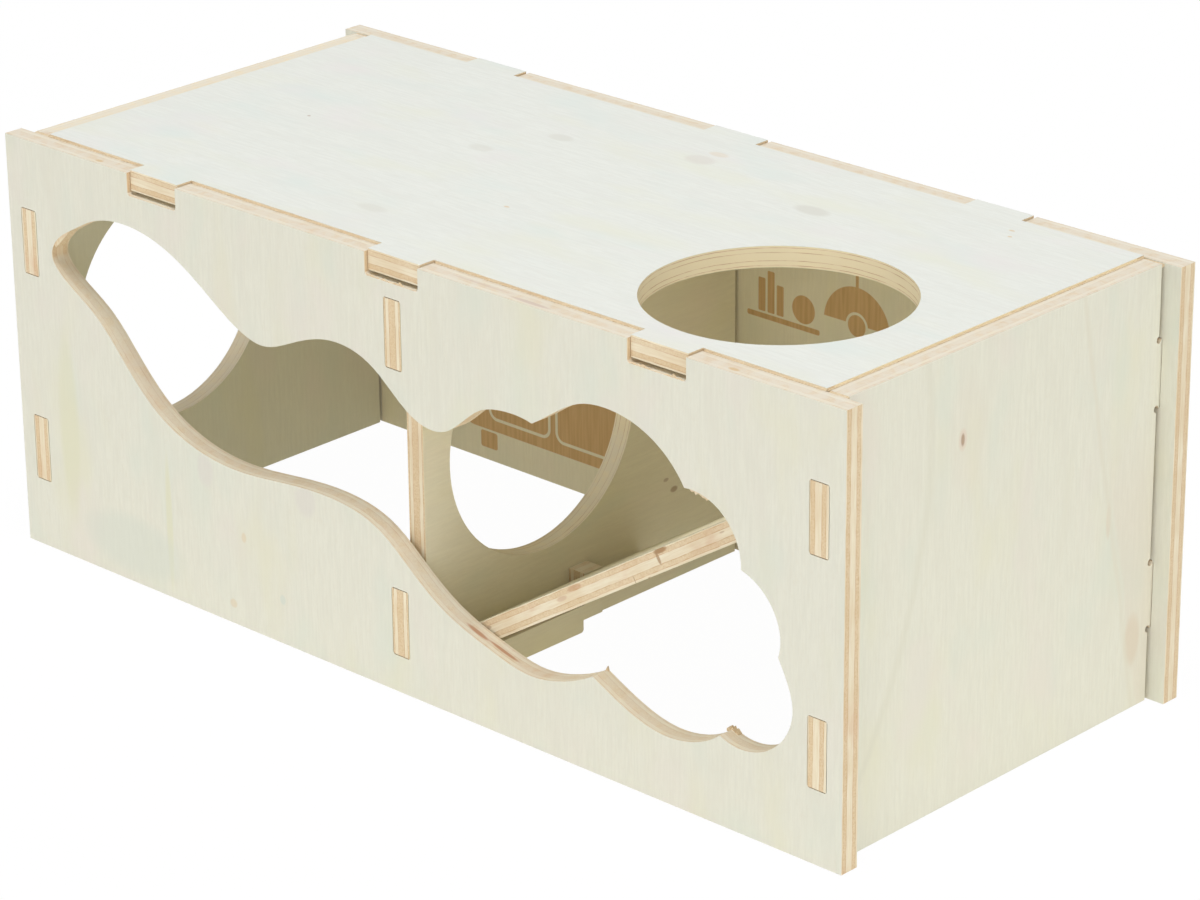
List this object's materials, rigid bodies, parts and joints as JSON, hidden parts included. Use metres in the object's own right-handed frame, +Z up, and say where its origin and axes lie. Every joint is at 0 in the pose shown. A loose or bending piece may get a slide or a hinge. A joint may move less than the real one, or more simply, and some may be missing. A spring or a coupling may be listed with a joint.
{
  "type": "hamster house",
  "caption": "Slot-together plywood house for a hamster: wave and cloud window, round doorways, inner wall, leaning ramp and a lift-off lid.",
  "frame": {"origin": "on the surface the house stands on, at the middle of its footprint", "axes": "+X along the house towards the ramp's high end, +Y from the window wall to the engraved back wall, +Z up"},
  "size_m": [0.312, 0.1384, 0.1253],
  "materials": {
    "front_plywood": "whitewashed veneer, matt",
    "back_plywood": "whitewashed veneer, matt, laser-engraved inner face",
    "end_plywood": "whitewashed veneer, matt",
    "divider_plywood": "whitewashed veneer, matt",
    "roof_plywood": "cool white washed veneer, matt",
    "ramp_plywood": "washed veneer, matt",
    "foot_plywood": "bare five-ply, matt"
  },
  "bodies": {
    "house": {"front_panel": "front_plywood", "back_panel": "back_plywood", "left_end_panel": "end_plywood", "right_end_panel": "end_plywood", "divider_panel": "divider_plywood", "ramp_board": "ramp_plywood", "ramp_foot": "foot_plywood"},
    "roof": {"roof_panel": "roof_plywood"}
  },
  "joints": [
    {"name": "roof_lift", "type": "slide", "parent": "house", "child": "roof", "axis": [0, 0, 1], "range_m": [0, 0.08]}
  ]
}
